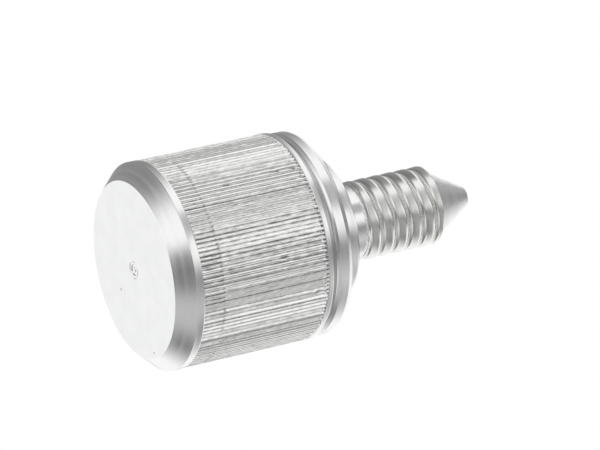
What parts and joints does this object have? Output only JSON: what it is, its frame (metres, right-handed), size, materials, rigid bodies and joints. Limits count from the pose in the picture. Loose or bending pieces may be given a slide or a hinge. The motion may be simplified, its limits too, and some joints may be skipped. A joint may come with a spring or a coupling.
{
  "type": "knurled thumb screw",
  "caption": "Turned aluminium thumb screw: long knurled head with a rear ring and a stepped collar, short threaded shank with a blunt cone point, for fastening or locking by hand.",
  "frame": {"origin": "centre of the head's flat front face, on which the screw stands", "axes": "+Z along the screw's axis, from the head's front face to the tip of the point; X and Y across it, with no preferred direction"},
  "size_m": [0.0108, 0.0108, 0.0192],
  "materials": {
    "bright_aluminium": "bright turned, with a knurled grip"
  },
  "bodies": {
    "root": {"thumb_screw": "bright_aluminium"}
  },
  "joints": []
}
